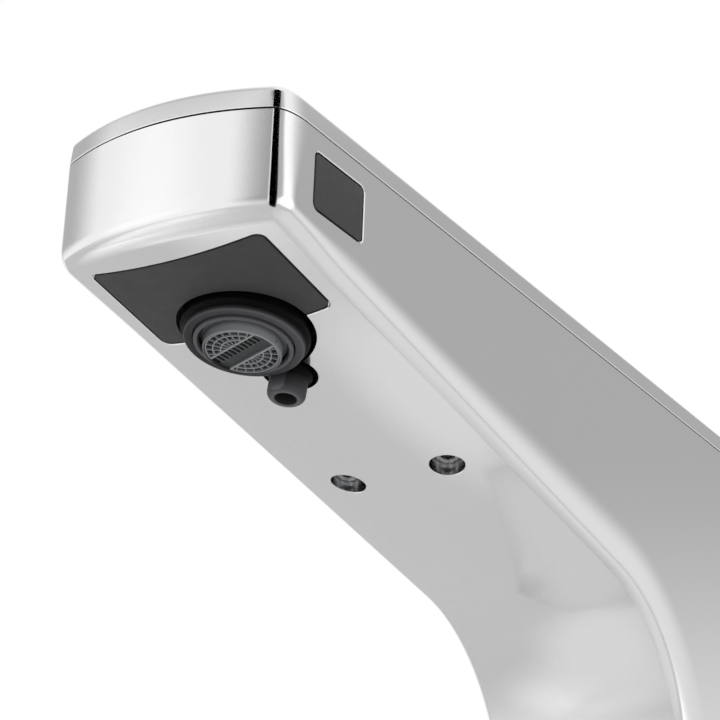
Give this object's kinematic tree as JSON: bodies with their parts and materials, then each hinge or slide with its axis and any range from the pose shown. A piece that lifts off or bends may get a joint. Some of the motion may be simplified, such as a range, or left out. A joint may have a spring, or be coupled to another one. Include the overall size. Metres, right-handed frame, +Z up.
{
  "type": "sensor tap",
  "caption": "Touch-free deck tap: chromed box spout falling into a column, screwed lid, smoked sensor windows, swivelling water outlet, soap nozzle, valve and deck clamp.",
  "frame": {"origin": "centre of the column on the deck that the tap stands on, at the underside of its foot seal", "axes": "+Z up out of the deck, -Y the way the spout reaches, +X the side with the small sensor window"},
  "size_m": [0.054, 0.2287, 0.2061],
  "materials": {
    "chrome": "polished",
    "smoked_plastic": "gloss",
    "black_plastic": "satin",
    "grey_plastic": "satin",
    "pale_plastic": "matte",
    "rubber": "matte",
    "steel": "satin",
    "coil": "satin",
    "board": "satin",
    "infrared": "gloss",
    "brass": "machined",
    "cast_foot": "satin"
  },
  "bodies": {
    "tap": {"body_shell": "chrome", "top_lid": "chrome", "lid_gasket": "rubber", "lid_screws": "steel", "under_plate": "smoked_plastic", "side_window": "smoked_plastic", "outlet_housing": "black_plastic", "aerator_ring": "black_plastic", "aerator_seal": "rubber", "flow_screen": "steel", "sensor_holder": "black_plastic", "sensor_board": "board", "ir_pair": "infrared", "side_holder": "black_plastic", "side_board": "board", "side_ir_pair": "infrared", "control_module": "black_plastic", "module_carrier": "pale_plastic", "carrier_screws": "steel", "sensor_lead": "rubber", "side_lead": "rubber", "power_lead": "rubber", "water_tube": "pale_plastic", "soap_tube": "pale_plastic", "valve_body": "pale_plastic", "diaphragm": "rubber", "valve_bonnet": "steel", "bonnet_screws": "steel", "solenoid_coil": "coil", "plunger_spring": "steel", "inlet_body": "brass", "inlet_filter": "steel", "check_spring": "steel", "soap_inlet": "black_plastic", "cable_grommet": "rubber", "base_plate": "cast_foot", "base_screws": "steel", "base_gasket": "rubber", "mounting_shank": "brass", "rubber_washer": "rubber", "clamp_washer": "steel", "clamp_nut": "brass"},
    "outlet_core": {"aerator_core": "grey_plastic", "outlet_grid": "grey_plastic"},
    "plunger": {"solenoid_plunger": "steel"},
    "poppet": {"check_poppet": "grey_plastic"}
  },
  "joints": [
    {"name": "outlet_swivel", "type": "hinge", "parent": "tap", "child": "outlet_core", "pos_m": [0, -0.16991, 0.11091], "axis": [1, 0, 0], "range_deg": [-7, 7]},
    {"name": "plunger_slide", "type": "slide", "parent": "tap", "child": "plunger", "axis": [0, 0, 1], "range_m": [0, 0.0015], "stiffness_N_per_m": 150, "springref_m": -0.003, "deforming": ["plunger_spring"]},
    {"name": "check_slide", "type": "slide", "parent": "tap", "child": "poppet", "axis": [0, 0, 1], "range_m": [0, 0.0025], "stiffness_N_per_m": 40, "springref_m": -0.004, "deforming": ["check_spring"]}
  ]
}
